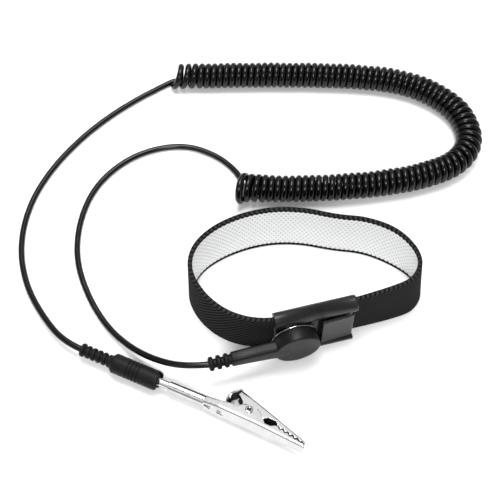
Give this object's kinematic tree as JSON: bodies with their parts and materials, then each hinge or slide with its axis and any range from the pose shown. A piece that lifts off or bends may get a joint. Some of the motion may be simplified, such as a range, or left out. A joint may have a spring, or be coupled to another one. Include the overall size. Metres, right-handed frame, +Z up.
{
  "type": "esd wrist strap",
  "caption": "Elastic wrist band with buckle and press-stud swivel head, curly ground cord, pin plug and removable alligator clip, laid out on a table.",
  "frame": {"origin": "centre of the wrist opening, on the table that the band's lower edge stands on", "axes": "+X along the buckle, -Y straight out of the buckle's face along the snap's axis, +Z up across the band's width"},
  "size_m": [0.1872, 0.1725, 0.0215],
  "materials": {
    "black_elastic": "matte twill weave",
    "white_conductive_knit": "dotted knit with conductive yarn",
    "satin_black_plastic": "satin moulded",
    "soft_black_plastic": "soft matte moulded",
    "cord_jacket": "glossy extruded jacket",
    "bright_nickel": "bright plated",
    "stainless_plate": "brushed",
    "steel_pin": "drawn",
    "brass_spring": "bare",
    "resistor_lacquer": "lacquered"
  },
  "bodies": {
    "wristband": {"band_outer_face": "black_elastic", "band_inner_face": "white_conductive_knit", "buckle_body": "satin_black_plastic", "contact_plate": "stainless_plate", "plate_rivets": "bright_nickel", "snap_stud": "bright_nickel", "stud_eyelet": "bright_nickel", "lever_pin": "steel_pin"},
    "lock_lever": {"lock_lever": "satin_black_plastic"},
    "lead": {"head_lead": "cord_jacket", "coil_cord": "cord_jacket", "plug_lead": "cord_jacket", "plug_strain_relief": "soft_black_plastic", "plug_housing": "soft_black_plastic", "plug_crimp": "bright_nickel", "banana_pin": "bright_nickel", "pin_cage_spring": "brass_spring"},
    "snap_head": {"head_shell": "satin_black_plastic", "head_cap": "satin_black_plastic", "snap_socket": "bright_nickel", "socket_ring_spring": "steel_pin", "head_back_washer": "bright_nickel", "resistor_body": "resistor_lacquer", "resistor_leads": "steel_pin", "head_crimp": "bright_nickel", "head_strain_relief": "soft_black_plastic"},
    "clip": {"clip_lower_jaw": "bright_nickel", "clip_pivot_rivet": "bright_nickel", "clip_spring": "steel_pin"},
    "clip_upper_jaw": {"clip_upper_jaw": "bright_nickel"}
  },
  "joints": [
    {"name": "lever_unlock", "type": "hinge", "parent": "wristband", "child": "lock_lever", "pos_m": [0.011, -0.0247, 0.0089], "axis": [0, 0, 1], "range_deg": [0, 95]},
    {"name": "snap_pull_off", "type": "slide", "parent": "wristband", "child": "lead", "axis": [0, -1, 0], "range_m": [0, 0.01]},
    {"name": "snap_swivel", "type": "hinge", "parent": "lead", "child": "snap_head", "pos_m": [-0.0093, -0.0288, 0.0102], "axis": [0, 1, 0], "range_deg": [0, 120]},
    {"name": "clip_pull_off", "type": "slide", "parent": "lead", "child": "clip", "axis": [0.7826, -0.6225, 0], "range_m": [0, 0.02]},
    {"name": "clip_squeeze", "type": "hinge", "parent": "clip", "child": "clip_upper_jaw", "pos_m": [-0.03116, -0.04721, 0.00386], "axis": [0.14, 0.176, 0.9744], "range_deg": [0, 18], "stiffness_Nm_per_rad": 0.02, "springref_deg": -28.65}
  ]
}
